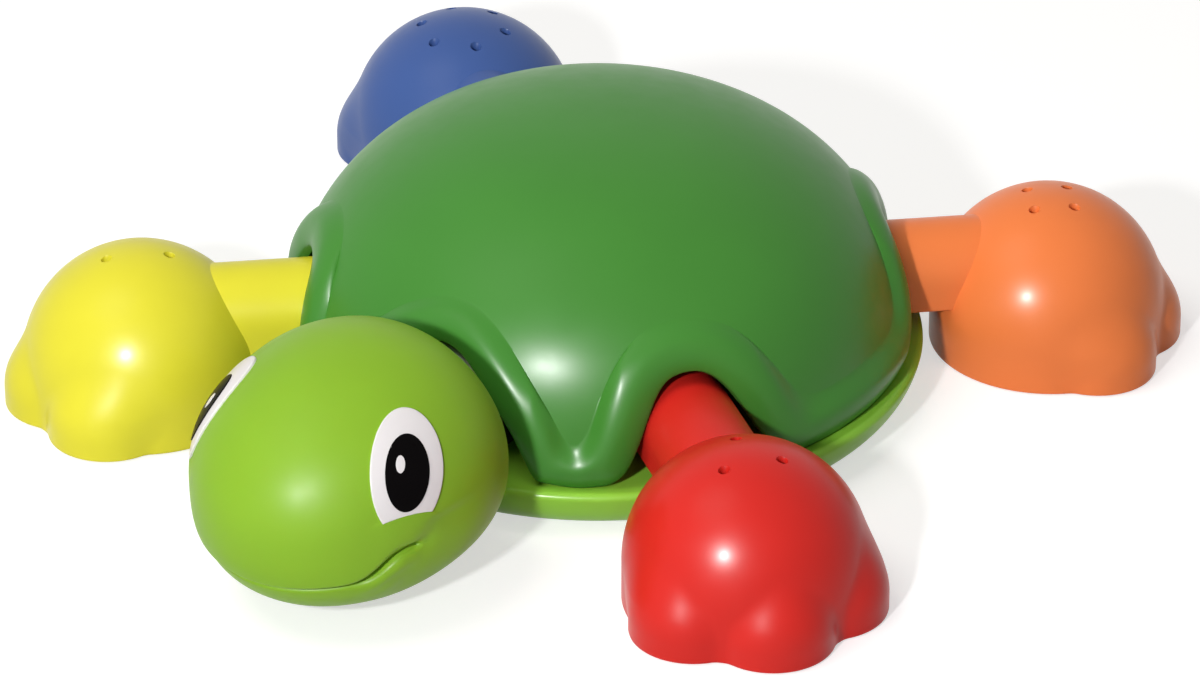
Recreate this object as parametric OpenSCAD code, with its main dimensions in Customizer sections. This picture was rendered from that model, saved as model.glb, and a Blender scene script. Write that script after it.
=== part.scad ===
// Bath turtle: a floating body under a domed shell, a soft head that squeaks when it is squeezed,
// and four scoop feet that pull off their spigots and sprinkle water through the holes in their tops.
// Millimetres. The origin is the middle of the flat belly, +Z is up and the head faces -Y.

/* [Shell] */
// Radius of the shell at its widest
shell_r = 93.5; // [88:0.5:100]
// Height of the dome above its widest line
shell_h = 70; // [62:1:80]
// Squareness of the dome's section, where 2 is an ellipse
shell_squareness = 2.2; // [2:0.1:2.6]
// Wall of the shell
shell_wall = 2.5; // [2:0.1:3.4]
// Width of the rolled rim, from its edge to the crease above it
rim_w = 12; // [9:0.5:14]
// How far the rolled rim stands proud of the dome
rim_proud = 3.4; // [2:0.2:4.4]
// Height of the arches above the lobes between them
arch_h = 33; // [30:0.5:38]
// Width of the head's arch at half its height
head_arch_w = 52; // [46:1:60]
// Gap between the side of an arm and its arch
arch_gap = 1.4; // [1:0.1:3]

/* [Hull] */
// Radius of the hull at its lip
hull_r = 99.3; // [94:0.1:106]
// Height of the hull
hull_h = 14; // [12:0.5:18]
// Radius of the curve from the belly to the side
hull_fillet = 13; // [9:0.5:13.5]
// Radius of the lip's rounded top edge
lip_round = 2; // [1:0.2:2.4]
// Wall of the hull
hull_wall = 2.5; // [2:0.1:3.2]
// Thickness of the deck that closes the float chamber
deck_t = 2.5; // [2:0.1:3.2]
// Thickness of the seal under the deck
seal_t = 1; // [0.6:0.1:1.4]
// Width of the seal
seal_w = 4; // [3:0.5:5]

/* [Arms] */
// Angle between the side of the body and each arm, in degrees
arm_angle = 39.7; // [37:0.1:43]
// Width of an arm
arm_w = 30; // [26:0.5:33]
// Height of an arm
arm_h = 22.8; // [21:0.1:25]
// Height of an arm's flat underside above the floor
arm_z = 19.5; // [18:0.5:21]
// Wall of an arm
arm_wall = 2.5; // [2:0.1:3]
// Distance from the middle of the body to the open inner end of an arm
arm_start = 60; // [56:1:66]
// Length of the spigot that an arm covers
grip = 38; // [30:1:42]
// Clearance between an arm and its spigot, on each side
arm_fit = 0.3; // [0.2:0.05:0.5]
// Wall of a spigot
spigot_wall = 2; // [1.6:0.1:2.6]

/* [Scoop feet] */
// Distance from the middle of the body to the middle of a foot
foot_reach = 139; // [134:1:150]
// Radius of a foot's dome
foot_r = 36; // [32:0.5:38]
// Height of the middle of the dome above the floor
foot_skirt = 13.5; // [11:0.5:16]
// Wall of a foot
foot_wall = 2.5; // [2:0.1:3]
// Radius of a toe
toe_r = 18.5; // [16:0.5:20]
// How far the toes reach from the middle of the foot
toe_reach = 41.8; // [40:0.1:44]
// Height of the middle of a toe above the floor
toe_z = 6; // [4:0.5:8]
// Angle between neighbouring toes, in degrees
toe_spread = 58; // [52:1:62]
// Diameter of a sprinkling hole
hole_d = 3; // [2:0.1:4]

/* [Head] */
// Width of the head
head_w = 88; // [80:1:94]
// From the middle of the head to the tip of the snout
head_front = 55; // [50:1:60]
// From the middle of the head to where its back would close, were it not flattened
head_back = 46; // [42:1:50]
// From the middle of the head to the flattened nape
head_nape = 30.5; // [28:0.5:32]
// From the middle of the head to its crown
head_top = 40; // [36:1:44]
// From the middle of the head to its underside
head_chin = 33.2; // [29:0.1:34]
// How far the jaw's underside rises from the chin to the nape
jaw_rise = 10; // [0:1:12]
// Gap between the underside of the head and the floor
head_lift = 0.8; // [0.8:0.1:5]
// Gap between the hull's lip and the flattened nape
head_gap = 1.2; // [1:0.1:8]
// Wall of the soft head
head_wall = 3; // [2.4:0.1:4]
// How far the lower lip is tucked under the upper lip
lip_tuck = 0.9; // [0.6:0.1:3]
// Width of an eye
eye_w = 24; // [20:0.2:26]
// Height of an eye
eye_h = 37; // [30:0.5:38]
// Radius of the cheek's edge that cuts off the eye below
cheek_r = 33; // [28:1:60]
// Thickness of an eye's white pad
eye_t = 0.9; // [0.8:0.1:1.6]
// Width of a pupil
pupil_w = 14.6; // [12:0.2:16]
// Height of a pupil
pupil_h = 22.4; // [18:0.2:24]
// Thickness of a pupil
pupil_t = 0.7; // [0.6:0.1:1.2]

/* [Neck and squeaker] */
// Outer radius of the soft neck
neck_r = 14.5; // [14:0.1:14.8]
// Outer radius of the spigot that the soft neck is stretched over
collar_r = 10.6; // [10:0.1:11]
// Wall of that spigot
collar_wall = 2; // [1.6:0.1:2.4]
// Thickness of the collar's upright plate and foot
collar_t = 3; // [2.4:0.1:3.6]
// Distance from the shell's widest line in to the back of the upright plate
collar_inset = 20.5; // [19.5:0.5:21.5]
// Length of the collar's spigot ahead of its plate
collar_len = 20; // [17:0.5:20]
// Length of the squeaker's housing
squeaker_len = 12; // [10:0.5:14]
// Wall of the squeaker's housing
squeaker_wall = 1.2; // [1:0.1:1.6]
// Thickness of the squeaker's reed
reed_t = 0.4; // [0.3:0.05:0.6]
// Width of the clip round the neck
clip_w = 5; // [4:0.5:6]
// Thickness of the clip
clip_t = 1.5; // [1:0.1:2]

/* [Screws] */
// Diameter of a screw's shank
screw_d = 3; // [2.6:0.1:3.4]
// Diameter of a screw's head
screw_head_d = 6.4; // [5.6:0.2:7]
// Height of a screw's head
screw_head_h = 2.2; // [1.8:0.1:2.6]
// Length of a shell screw under its head
shell_screw_len = 20; // [16:1:24]
// Length of a collar screw under its head
collar_screw_len = 7.5; // [7:0.5:8]
// Wall of a screw boss
boss_wall = 2.8; // [2:0.1:3.4]
// Distance from the middle of the body to each shell screw
boss_reach = 50; // [46:1:54]

/* [Hidden] */
$fn = 96;

// Clearances and the overrun of cuts
cut = 1;
slip = 0.1;
seat_gap = 0.3;

// Colours, as on the toy
shell_green = [0.27, 0.57, 0.24];
light_green = [0.55, 0.74, 0.24];
inner_grey = [0.82, 0.83, 0.80];
soft_black = [0.12, 0.12, 0.13];
steel = [0.75, 0.76, 0.78];
red = [0.90, 0.22, 0.18];
yellow = [0.91, 0.88, 0.23];
orange = [0.94, 0.51, 0.29];
blue = [0.27, 0.40, 0.65];

// Heights in the body's stack: belly, seal, deck, lobes and the dome's widest line
deck_drop = 0.5;
deck_top = hull_h - deck_drop;
deck_z = deck_top - deck_t;
seal_z = deck_z - seal_t;
lobe_z = hull_h + seat_gap;
widest_rise = 2;
shell_base_z = hull_h + widest_rise;

// The neck's clip clears the hull's lip, and the nape stands ahead of it
neck_z = hull_h + seat_gap + clip_t + neck_r;
head_reach = hull_r + head_gap + head_nape;
collar_reach = shell_r - collar_inset;

// The hull's bowl
hull_flat_r = hull_r - hull_fillet;
function hull_inside_r(z) = z >= hull_fillet ? hull_r - hull_wall
    : hull_flat_r + sqrt(pow(hull_fillet - hull_wall, 2) - pow(hull_fillet - z, 2));
deck_r = hull_inside_r(deck_z) - seat_gap;
ledge_t = 2.4;
ledge_r = deck_r - seal_w - hull_wall / 2;
seal_r = deck_r - hull_wall / 4;

// Screws and the bosses they turn into
screw_r = screw_d / 2;
screw_head_r = screw_head_d / 2;
boss_r = screw_r + slip + boss_wall;
column_r = screw_head_r + seat_gap + boss_wall;
collar_foot_len = 13;
collar_screw_x = neck_r - collar_t - screw_head_r - 3 * seat_gap;
collar_screw_y = collar_foot_len / 2 - collar_reach;

// The dome's meridian, followed by the length along it
meridian_power = 2 / shell_squareness;
meridian_steps = 60;
function meridian_angle(i) = 90 * i / meridian_steps;
function dome_at(q) = [
    shell_r * pow(cos(q), meridian_power),
    shell_base_z + shell_h * pow(sin(q), meridian_power)
];
function meridian_chord(i) = norm(dome_at(meridian_angle(i + 1)) - dome_at(meridian_angle(i)));
meridian_lengths = [
    for (i = 0, s = 0; i <= meridian_steps;
         s = s + (i < meridian_steps ? meridian_chord(i) : 0), i = i + 1) s
];
length_to_angle = [for (i = [0:meridian_steps]) [meridian_lengths[i], meridian_angle(i)]];
angle_to_length = [for (i = [0:meridian_steps]) [meridian_angle(i), meridian_lengths[i]]];
meridian_end = meridian_lengths[meridian_steps];
function length_at_z(z) = z <= shell_base_z ? z - shell_base_z
    : lookup(asin(pow((z - shell_base_z) / shell_h, 1 / meridian_power)), angle_to_length);
function meridian_point(m) = m <= 0 ? [shell_r, shell_base_z + m] : dome_at(lookup(m, length_to_angle));
meridian_probe = shell_r / 100;
function meridian_normal(m) =
    let (d = meridian_point(min(m + meridian_probe, meridian_end)) - meridian_point(m - meridian_probe))
    [d[1], -d[0]] / norm(d);
function dome_point(phi, m, lift) =
    let (p = meridian_point(m) + meridian_normal(m) * lift)
    [p[0] * cos(phi), p[0] * sin(phi), p[1]];

// The scalloped edge: an arch over each arm, steep on its far side and gentle towards the side lobe,
// an arch over the neck, and lobes between them. side is the angle from the body's side to the front.
function ramp(u, steepness) =
    let (c = min(max(u, 0), 1))
    pow(c, steepness) / (pow(c, steepness) + pow(1 - c, steepness));
gentle_span = 24.5;
gentle_overlap = 1;
gentle_steepness = 2.2;
steep_span = 17;
steep_lead = 8.7;
steep_steepness = 3;
head_span = 19;
head_steepness = 2;
arm_side_angle = asin((arm_w / 2 + arch_gap) / shell_r);
head_side_angle = 90 - asin(head_arch_w / 2 / shell_r);
function arm_arch(side) =
    ramp((side - arm_angle - gentle_overlap + gentle_span) / gentle_span, gentle_steepness)
    * (1 - ramp((side - arm_angle - arm_side_angle + steep_lead) / steep_span, steep_steepness));
function head_arch(side) = ramp((side - head_side_angle) / head_span + 1 / 2, head_steepness);
function edge_z(phi) =
    let (side = atan2(-sin(phi), abs(cos(phi))))
    lobe_z + arch_h * (arm_arch(abs(side)) + (side > 0 ? head_arch(side) : 0));

// A line on the dome at a steady distance above the scalloped edge
rim_probe = 0.9;
rim_probe_arc = rim_probe * PI / 180 * shell_r;
function rim_line(phi, d) = d <= 0 ? length_at_z(edge_z(phi))
    : let (n = floor(d / rim_probe_arc))
    max([for (k = [-n:n]) length_at_z(edge_z(phi + k * rim_probe)) + sqrt(pow(d, 2) - pow(k * rim_probe_arc, 2))]);
function rim_lift(share) = rim_proud * pow(max(sin(180 * share), 0), 0.6);

// Meridians stand closer where the edge climbs steeply
quarter_angles = concat(
    [for (a = [0:4:16]) a],
    [for (a = [19:3:37]) a],
    [for (a = [39.7:1.9:57]) a],
    [for (a = [59:3:65]) a],
    [for (a = [67:2.4:84]) a],
    [87]
);
shell_angles = concat(
    quarter_angles,
    [90],
    [for (i = [len(quarter_angles) - 1:-1:1]) 180 - quarter_angles[i]],
    [for (a = quarter_angles) 180 + a],
    [270],
    [for (i = [len(quarter_angles) - 1:-1:1]) 360 - quarter_angles[i]]
);
rim_shares = [0, 0.12, 0.35, 0.65, 0.88, 1];
inner_rim_shares = [0, 0.5, 1];
// Above the rim three rows close up to a level ring, and level rings follow up to the top
crown_start = length_at_z(lobe_z + arch_h) + rim_w;
crown_shares = [-0.68, -0.36, 0, 0.2, 0.4, 0.6, 0.8];
function crown_length(phi, share) = share >= 0
    ? crown_start + (meridian_end - crown_start) * share
    : crown_start + (crown_start - rim_line(phi, rim_w)) * share;

// A closed skin through a stack of equal rings, between two end points. Rings run anticlockwise
// when seen from outside the first point.
module ring_skin(first, rings, last) {
    n = len(rings[0]);
    count = len(rings);
    function at(j, i) = 1 + j * n + (i % n);
    end = 1 + count * n;
    polyhedron(
        points = concat([first], [for (ring = rings, p = ring) p], [last]),
        faces = concat(
            [for (i = [0:n - 1]) [0, at(0, i + 1), at(0, i)]],
            [for (j = [0:count - 2], i = [0:n - 1]) each [
                [at(j, i), at(j, i + 1), at(j + 1, i + 1)],
                [at(j, i), at(j + 1, i + 1), at(j + 1, i)]
            ]],
            [for (i = [0:n - 1]) [at(count - 1, i), at(count - 1, i + 1), end]]
        )
    );
}

// An arch-shaped outline: flat below, round above. x is across, y is up.
module arch_outline(w, bottom, top) {
    spring = top - w / 2;
    translate([0, spring]) intersection() {
        circle(d = w);
        translate([-w / 2, 0]) square([w, w / 2]);
    }
    translate([-w / 2, bottom]) square([w, spring - bottom]);
}

// Puts a piece that lies along +X at the angle of an arm
module at_arm(side, end) {
    mirror([side > 0 ? 0 : 1, 0, 0]) mirror([0, end > 0 ? 0 : 1, 0]) rotate([0, 0, arm_angle]) children();
}

// Extrudes an outline that lies across +X from one distance to another
module along_x(from, to) {
    translate([from, 0, 0]) rotate([90, 0, 90]) linear_extrude(height = to - from) children();
}

// Extrudes an outline that lies across +Y from one distance to another
module along_y(from, to) {
    translate([0, to, 0]) rotate([90, 0, 0]) linear_extrude(height = to - from) children();
}

// A tube or a disc along +Y on the neck's axis
module neck_disc(r, from, to) {
    translate([0, from, neck_z]) rotate([-90, 0, 0]) cylinder(r = r, h = to - from);
}

// The four places of the shell's screws
module at_bosses() {
    for (a = [0:90:270]) rotate([0, 0, a]) translate([boss_reach, 0, 0]) children();
}

// A pan-head screw that points up, with the underside of its head at zero
module screw(len) {
    translate([0, 0, -screw_head_h]) cylinder(r = screw_head_r, h = screw_head_h);
    cylinder(r = screw_r, h = len);
}

// The dome with its scalloped, rolled rim
module shell_skin() {
    outer_crown = [for (i = [len(crown_shares) - 1:-1:0])
        [for (phi = shell_angles) dome_point(phi, crown_length(phi, crown_shares[i]), 0)]];
    outer_rim = [for (i = [len(rim_shares) - 1:-1:0])
        [for (phi = shell_angles)
            dome_point(phi, rim_line(phi, rim_w * rim_shares[i]), rim_lift(rim_shares[i]))]];
    inner_rim = [for (share = inner_rim_shares)
        [for (phi = shell_angles)
            dome_point(phi, rim_line(phi, rim_w * share), rim_lift(share) - shell_wall)]];
    inner_crown = [for (share = crown_shares)
        [for (phi = shell_angles) dome_point(phi, crown_length(phi, share), -shell_wall)]];
    ring_skin(
        [0, 0, shell_base_z + shell_h],
        concat(outer_crown, outer_rim, inner_rim, inner_crown),
        [0, 0, shell_base_z + shell_h - shell_wall]
    );
}

// The space under the middle of the shell's wall, which ends its bosses
module under_shell() {
    rotate_extrude() polygon(concat(
        [[0, 0], [meridian_point(0)[0] - shell_wall / 2, 0]],
        [for (i = [0:3:meridian_steps]) let (
            m = meridian_lengths[i],
            p = meridian_point(m) - meridian_normal(m) * shell_wall / 2
        ) [max(p[0], 0), p[1]]]
    ));
}

module shell() {
    color(shell_green) difference() {
        union() {
            shell_skin();
            intersection() {
                at_bosses() translate([0, 0, deck_top]) cylinder(r = boss_r, h = shell_h);
                under_shell();
            }
        }
        at_bosses() translate([0, 0, deck_top - cut])
            cylinder(r = screw_r + slip, h = shell_screw_len + cut);
    }
}

// Half of the bowl's section, and half of the space inside it
module hull_section() {
    intersection() {
        union() {
            square([hull_flat_r, hull_h]);
            translate([hull_flat_r, hull_fillet]) circle(r = hull_fillet);
            translate([0, hull_fillet]) square([hull_r, hull_h - hull_fillet]);
        }
        union() {
            square([hull_r, hull_h - lip_round]);
            square([hull_r - lip_round, hull_h]);
            translate([hull_r - lip_round, hull_h - lip_round]) circle(r = lip_round);
        }
    }
}

module hull_space() {
    translate([0, hull_wall]) square([hull_flat_r, hull_h]);
    translate([hull_flat_r, hull_fillet]) circle(r = hull_fillet - hull_wall);
    translate([0, hull_fillet]) square([hull_r - hull_wall, hull_h]);
}

module hull() {
    color(light_green) difference() {
        union() {
            rotate_extrude() difference() {
                hull_section();
                hull_space();
            }
            rotate_extrude() translate([ledge_r, seal_z - ledge_t])
                square([hull_inside_r(seal_z - ledge_t) + hull_wall / 2 - ledge_r, ledge_t]);
            at_bosses() cylinder(r = column_r, h = deck_z);
        }
        at_bosses() {
            translate([0, 0, -cut]) cylinder(r = screw_head_r + seat_gap, h = deck_z - hull_wall + cut);
            translate([0, 0, -cut]) cylinder(r = screw_r + seat_gap, h = deck_z + 2 * cut);
        }
    }
}

module hull_seal() {
    color(soft_black) translate([0, 0, seal_z]) difference() {
        cylinder(r = seal_r, h = seal_t);
        translate([0, 0, -cut]) cylinder(r = seal_r - seal_w, h = seal_t + 2 * cut);
    }
}

// One hollow spigot on its pedestal, along +X
pedestal_len = 14;
module spigot() {
    spigot_w = arm_w - 2 * (arm_wall + arm_fit);
    spigot_top = arm_z + arm_h - arm_wall - arm_fit;
    spigot_bottom = arm_z + arm_wall + arm_fit;
    pedestal_end = arm_start - arm_wall;
    difference() {
        union() {
            along_x(pedestal_end - pedestal_len, arm_start + grip)
                arch_outline(spigot_w, spigot_bottom, spigot_top);
            along_x(pedestal_end - pedestal_len, pedestal_end)
                arch_outline(spigot_w, deck_top - deck_t / 2, spigot_top);
        }
        along_x(pedestal_end - pedestal_len + spigot_wall, arm_start + grip + cut)
            arch_outline(spigot_w - 2 * spigot_wall, spigot_bottom + spigot_wall, spigot_top - spigot_wall);
    }
}

// The places of the two screws that hold the neck's collar
module at_collar_screws() {
    for (side = [-1, 1]) translate([side * collar_screw_x, collar_screw_y, 0]) children();
}

module deck() {
    color(light_green) difference() {
        union() {
            translate([0, 0, deck_z]) cylinder(r = deck_r, h = deck_t);
            for (side = [-1, 1], end = [-1, 1]) at_arm(side, end) spigot();
            at_collar_screws() translate([0, 0, hull_wall + seat_gap])
                cylinder(r = boss_r, h = deck_top - hull_wall - seat_gap);
        }
        at_bosses() translate([0, 0, deck_z - cut]) cylinder(r = screw_r + seat_gap, h = deck_t + 2 * cut);
        at_collar_screws() translate([0, 0, deck_top + collar_t - collar_screw_len])
            cylinder(r = screw_r + slip, h = collar_screw_len);
    }
}

module shell_screws() {
    color(steel) at_bosses() translate([0, 0, deck_z - hull_wall]) screw(shell_screw_len);
}

module collar_screws() {
    color(steel) at_collar_screws() translate([0, 0, deck_top + collar_t]) mirror([0, 0, 1])
        screw(collar_screw_len - slip);
}

// The head's surface, by azimuth from the snout and elevation, measured from the head's middle
head_z = head_chin + head_lift;
head_middle = [0, -head_reach, head_z];
crown_squareness = 2;
jaw_squareness = 2.65;
nape_sharpness = 12;
function head_direction(a, e) = [cos(e) * sin(a), -cos(e) * cos(a), sin(e)];
function head_radius(a, e, inset) =
    let (
        d = head_direction(a, e),
        k = d[2] > 0 ? crown_squareness : jaw_squareness,
        tall = (d[2] > 0 ? head_top : head_chin - jaw_rise * (cos(e) + d[1]) / 2) - inset,
        deep = (d[1] < 0 ? head_front : head_back) - inset,
        level = norm([d[0] / (head_w / 2 - inset), d[1] / deep]),
        ball = pow(pow(level, k) + pow(abs(d[2]) / tall, k), -1 / k)
    )
    d[1] <= 0 ? ball
    : let (nape = (head_nape - inset) / d[1])
    pow(pow(ball, -nape_sharpness) + pow(nape, -nape_sharpness), -1 / nape_sharpness);

// The mouth climbs slowly from the middle and then quickly to its corner
mouth_middle = -17;
mouth_corner = 56;
mouth_slow_rise = 3;
mouth_quick_rise = 12.2;
lip_step = 1.6;
lip_roll = 26;
function mouth_swing(a) = sin(90 * min(abs(a), mouth_corner) / mouth_corner);
function mouth_elevation(a) =
    mouth_middle + mouth_slow_rise * pow(mouth_swing(a), 1.5) + mouth_quick_rise * pow(mouth_swing(a), 9);
function lip_depth(a, below) =
    lip_tuck * (1 - ramp((abs(a) / mouth_corner - 0.9) / 0.2, 2)) * pow(max(1 - below / lip_roll, 0), 2);

head_columns = 52;
head_upper_rows = 14;
head_lower_rows = 8;
function column_azimuth(i) = 360 * i / head_columns - (i > head_columns / 2 ? 360 : 0);
module head_skin() {
    upper = [for (j = [1:head_upper_rows]) [for (i = [0:head_columns - 1]) let (
        a = column_azimuth(i),
        e = 90 - (90 - mouth_elevation(a)) * j / head_upper_rows
    ) head_middle + head_direction(a, e) * head_radius(a, e, 0)]];
    lower = [for (j = [0:head_lower_rows - 1]) [for (i = [0:head_columns - 1]) let (
        a = column_azimuth(i),
        below = lip_step + (90 + mouth_elevation(a) - lip_step) * pow(j / head_lower_rows, 1.3),
        e = mouth_elevation(a) - below
    ) head_middle + head_direction(a, e) * (head_radius(a, e, 0) - lip_depth(a, below - lip_step))]];
    ring_skin(
        head_middle + [0, 0, head_top],
        concat(upper, lower),
        head_middle - [0, 0, head_chin]
    );
}

cavity_columns = 28;
cavity_rows = 14;
module head_cavity() {
    inset = head_wall + lip_tuck / 2;
    ring_skin(
        head_middle + [0, 0, head_top - inset],
        [for (j = [1:cavity_rows - 1]) [for (i = [0:cavity_columns - 1]) let (
            a = 360 * i / cavity_columns - (i > cavity_columns / 2 ? 360 : 0),
            e = 90 - 180 * j / cavity_rows
        ) head_middle + head_direction(a, e) * head_radius(a, e, inset)]],
        head_middle - [0, 0, head_chin - inset]
    );
}

plate_front = -collar_reach - collar_t;
nape_y = head_nape - head_reach;
module head() {
    color(light_green) difference() {
        union() {
            head_skin();
            neck_disc(neck_r, nape_y - head_wall, plate_front - seat_gap);
        }
        head_cavity();
        neck_disc(collar_r + slip, nape_y - 3 * head_wall, plate_front);
    }
}

// An eye: an ellipse that leans back, wrapped on the head. The round edge of the cheek cuts off the white pad
// below, and cheek is that edge's height under the middle. lift is the height of the inner face over the head.
eye_azimuth = 56;
eye_elevation = 26.8;
eye_lean = 16;
eye_cheek = eye_h * 0.38;
eye_cheek_shift = 3.5;
eye_points = 32;
function eye_outline(w, h, cheek, k) =
    let (
        u = cos(k) * w / 2,
        v = sin(k) * h / 2,
        across = u * cos(eye_lean) + v * sin(eye_lean),
        up = v * cos(eye_lean) - u * sin(eye_lean)
    ) [across, max(up, -cheek - pow(across + eye_cheek_shift, 2) / (2 * cheek_r))];
function on_head(across, up, lift) =
    let (
        a = eye_azimuth,
        e = eye_elevation,
        reach = head_direction(a, e) * head_radius(a, e, 0)
            + [cos(a), sin(a), 0] * across
            + [-sin(e) * sin(a), sin(e) * cos(a), cos(e)] * up,
        b = atan2(reach[0], -reach[1]),
        f = asin(reach[2] / norm(reach))
    ) head_middle + head_direction(b, f) * (head_radius(b, f, 0) + lift);
module eye_pad(w, h, cheek, shift, lift, thickness, rings) {
    function ring(share, height) = [for (i = [0:eye_points - 1]) let (
        p = eye_outline(w, h, cheek, 360 * i / eye_points) * share
    ) on_head(p[0] + shift[0], p[1] + shift[1], height)];
    bevel = thickness / 2;
    ring_skin(
        on_head(shift[0], shift[1], lift + thickness),
        concat(
            [for (j = [1:rings]) ring(j / rings * (1 - 2 * bevel / w), lift + thickness)],
            [ring(1, lift + thickness - bevel), ring(1, lift)],
            [for (j = [rings - 1:-1:1]) ring(j / rings, lift)]
        ),
        on_head(shift[0], shift[1], lift)
    );
}
white_lift = 0.15;
pupil_lift = white_lift + eye_t + slip;
pupil_shift = [-eye_w / 60, -eye_h / 20];

module eye_white() {
    eye_pad(eye_w, eye_h, eye_cheek, [0, 0], white_lift, eye_t, 4);
}

module eye_pupil() {
    eye_pad(pupil_w, pupil_h, pupil_h, pupil_shift, pupil_lift, pupil_t, 3);
}

module eye_white_left() {
    color("white") eye_white();
}

module eye_white_right() {
    color("white") mirror([1, 0, 0]) eye_white();
}

module eye_pupil_left() {
    color(soft_black) eye_pupil();
}

module eye_pupil_right() {
    color(soft_black) mirror([1, 0, 0]) eye_pupil();
}

// The rigid collar that carries the head: an upright plate with a spigot ahead and a foot behind
collar_w = 2 * neck_r;
spigot_tip = plate_front - collar_len;
module neck_collar() {
    foot_back = -collar_reach + collar_foot_len;
    color(inner_grey) difference() {
        union() {
            along_y(plate_front, -collar_reach) arch_outline(collar_w, deck_top, neck_z + neck_r);
            neck_disc(collar_r, spigot_tip, plate_front + collar_t / 2);
            translate([-collar_w / 2, -collar_reach - collar_t / 2, deck_top])
                cube([collar_w, collar_foot_len + collar_t / 2, collar_t]);
            for (side = [-1, 1]) translate([side * (collar_w - collar_t) / 2, 0, 0])
                rotate([90, 0, -90]) translate([0, 0, -collar_t / 2]) linear_extrude(height = collar_t)
                    polygon([
                        [collar_reach + collar_t / 2, deck_top],
                        [-foot_back, deck_top],
                        [-foot_back, deck_top + collar_t],
                        [collar_reach, neck_z],
                        [collar_reach + collar_t / 2, neck_z]
                    ]);
        }
        neck_disc(collar_r - collar_wall, spigot_tip - cut, -collar_reach + cut);
        at_collar_screws() translate([0, 0, deck_top - cut])
            cylinder(r = screw_r + seat_gap, h = collar_t + 2 * cut);
    }
}

// The clip that clamps the soft neck on the collar's spigot
clip_back = plate_front - clip_w / 2;
module neck_clip() {
    color(steel) difference() {
        neck_disc(neck_r + clip_t, clip_back - clip_w, clip_back);
        neck_disc(neck_r + slip, clip_back - clip_w - cut, clip_back + cut);
    }
}

// The squeaker: a housing with a grooved tongue block, a reed over the groove and a pierced cap
housing_r = collar_r - collar_wall - slip;
housing_bore = housing_r - squeaker_wall;
flange_r = collar_r - slip;
housing_back = spigot_tip + squeaker_len;
block_w = 5.4;
block_len = 7.5;
groove_w = 2.4;
groove_depth = 1.6;
cap_t = 1.6;
reed_len = block_len - 0.5;
module squeaker_housing() {
    color("white") difference() {
        union() {
            neck_disc(flange_r, spigot_tip - squeaker_wall, spigot_tip);
            neck_disc(housing_r, spigot_tip - squeaker_wall, housing_back);
        }
        neck_disc(housing_bore, spigot_tip - squeaker_wall - cut, housing_back - squeaker_wall);
        translate([-groove_w / 2, housing_back - squeaker_wall - cut, neck_z - groove_depth])
            cube([groove_w, squeaker_wall + 2 * cut, groove_depth]);
    }
    color("white") difference() {
        translate([-block_w / 2, housing_back - squeaker_wall - block_len, neck_z - housing_bore / 2])
            cube([block_w, block_len + squeaker_wall / 2, housing_bore / 2]);
        translate([-groove_w / 2, housing_back - squeaker_wall - block_len - cut, neck_z - groove_depth])
            cube([groove_w, block_len + squeaker_wall + 2 * cut, groove_depth + cut]);
    }
}

module squeaker_reed() {
    color(steel) translate([-block_w / 2, housing_back - squeaker_wall - block_len, neck_z])
        cube([block_w, reed_len, reed_t]);
}

module squeaker_cap() {
    color("white") difference() {
        neck_disc(housing_bore - slip, spigot_tip - squeaker_wall, spigot_tip - squeaker_wall + cap_t);
        for (a = [0:72:288])
            translate([housing_bore / 2 * cos(a), 0, housing_bore / 2 * sin(a)])
                neck_disc(squeaker_wall, spigot_tip - squeaker_wall - cut, spigot_tip + cap_t);
    }
}

// A scoop foot along +X: a hollow dome with three toes on its outer side, open below, and a hollow
// arm that is closed off from the dome. holes is how many sprinkling holes ring its top.
toe_ring = toe_reach - toe_r;
module foot_dome(inset) {
    translate([foot_reach, 0, 0]) {
        rotate_extrude() intersection() {
            union() {
                translate([0, foot_skirt]) circle(r = foot_r - inset);
                translate([0, -inset]) square([foot_r - inset, foot_skirt + inset]);
            }
            translate([0, -inset]) square([foot_r, foot_skirt + foot_r + inset]);
        }
    }
}

module foot_toes(inset) {
    translate([foot_reach, 0, 0]) for (k = [-1:1]) rotate([0, 0, k * toe_spread])
        translate([toe_ring, 0, toe_z]) sphere(r = toe_r - inset);
}

module scoop(holes, hole_ring, first_hole) {
    difference() {
        union() {
            foot_dome(0);
            foot_toes(0);
            along_x(arm_start, foot_reach) arch_outline(arm_w, arm_z, arm_z + arm_h);
        }
        foot_dome(foot_wall);
        foot_toes(foot_wall);
        translate([foot_reach - 2 * foot_r, -2 * foot_r, -2 * toe_r]) cube([4 * foot_r, 4 * foot_r, 2 * toe_r]);
        difference() {
            along_x(arm_start - cut, foot_reach)
                arch_outline(arm_w - 2 * arm_wall, arm_z + arm_wall, arm_z + arm_h - arm_wall);
            foot_dome(0);
        }
        for (k = [0:holes - 1]) translate([foot_reach, 0, foot_skirt]) rotate([0, 0, first_hole + k * 360 / holes])
            translate([hole_ring, 0, 0]) cylinder(d = hole_d, h = foot_r + cut);
    }
}

// Radius of each ring of holes
two_ring = 9.6;
three_ring = 10.3;
four_ring = 8.9;
six_ring = 13.9;

module cup_front_left() {
    color(red) at_arm(1, -1) scoop(3, three_ring, 60);
}

module cup_front_right() {
    color(yellow) at_arm(-1, -1) scoop(2, two_ring, 0);
}

module cup_rear_left() {
    color(orange) at_arm(1, 1) scoop(4, four_ring, 45);
}

module cup_rear_right() {
    color(blue) at_arm(-1, 1) scoop(6, six_ring, 0);
}

shell();
hull();
deck();
hull_seal();
shell_screws();
head();
eye_white_left();
eye_white_right();
eye_pupil_left();
eye_pupil_right();
neck_collar();
neck_clip();
collar_screws();
squeaker_housing();
squeaker_reed();
squeaker_cap();
cup_front_left();
cup_front_right();
cup_rear_left();
cup_rear_right();
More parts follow.
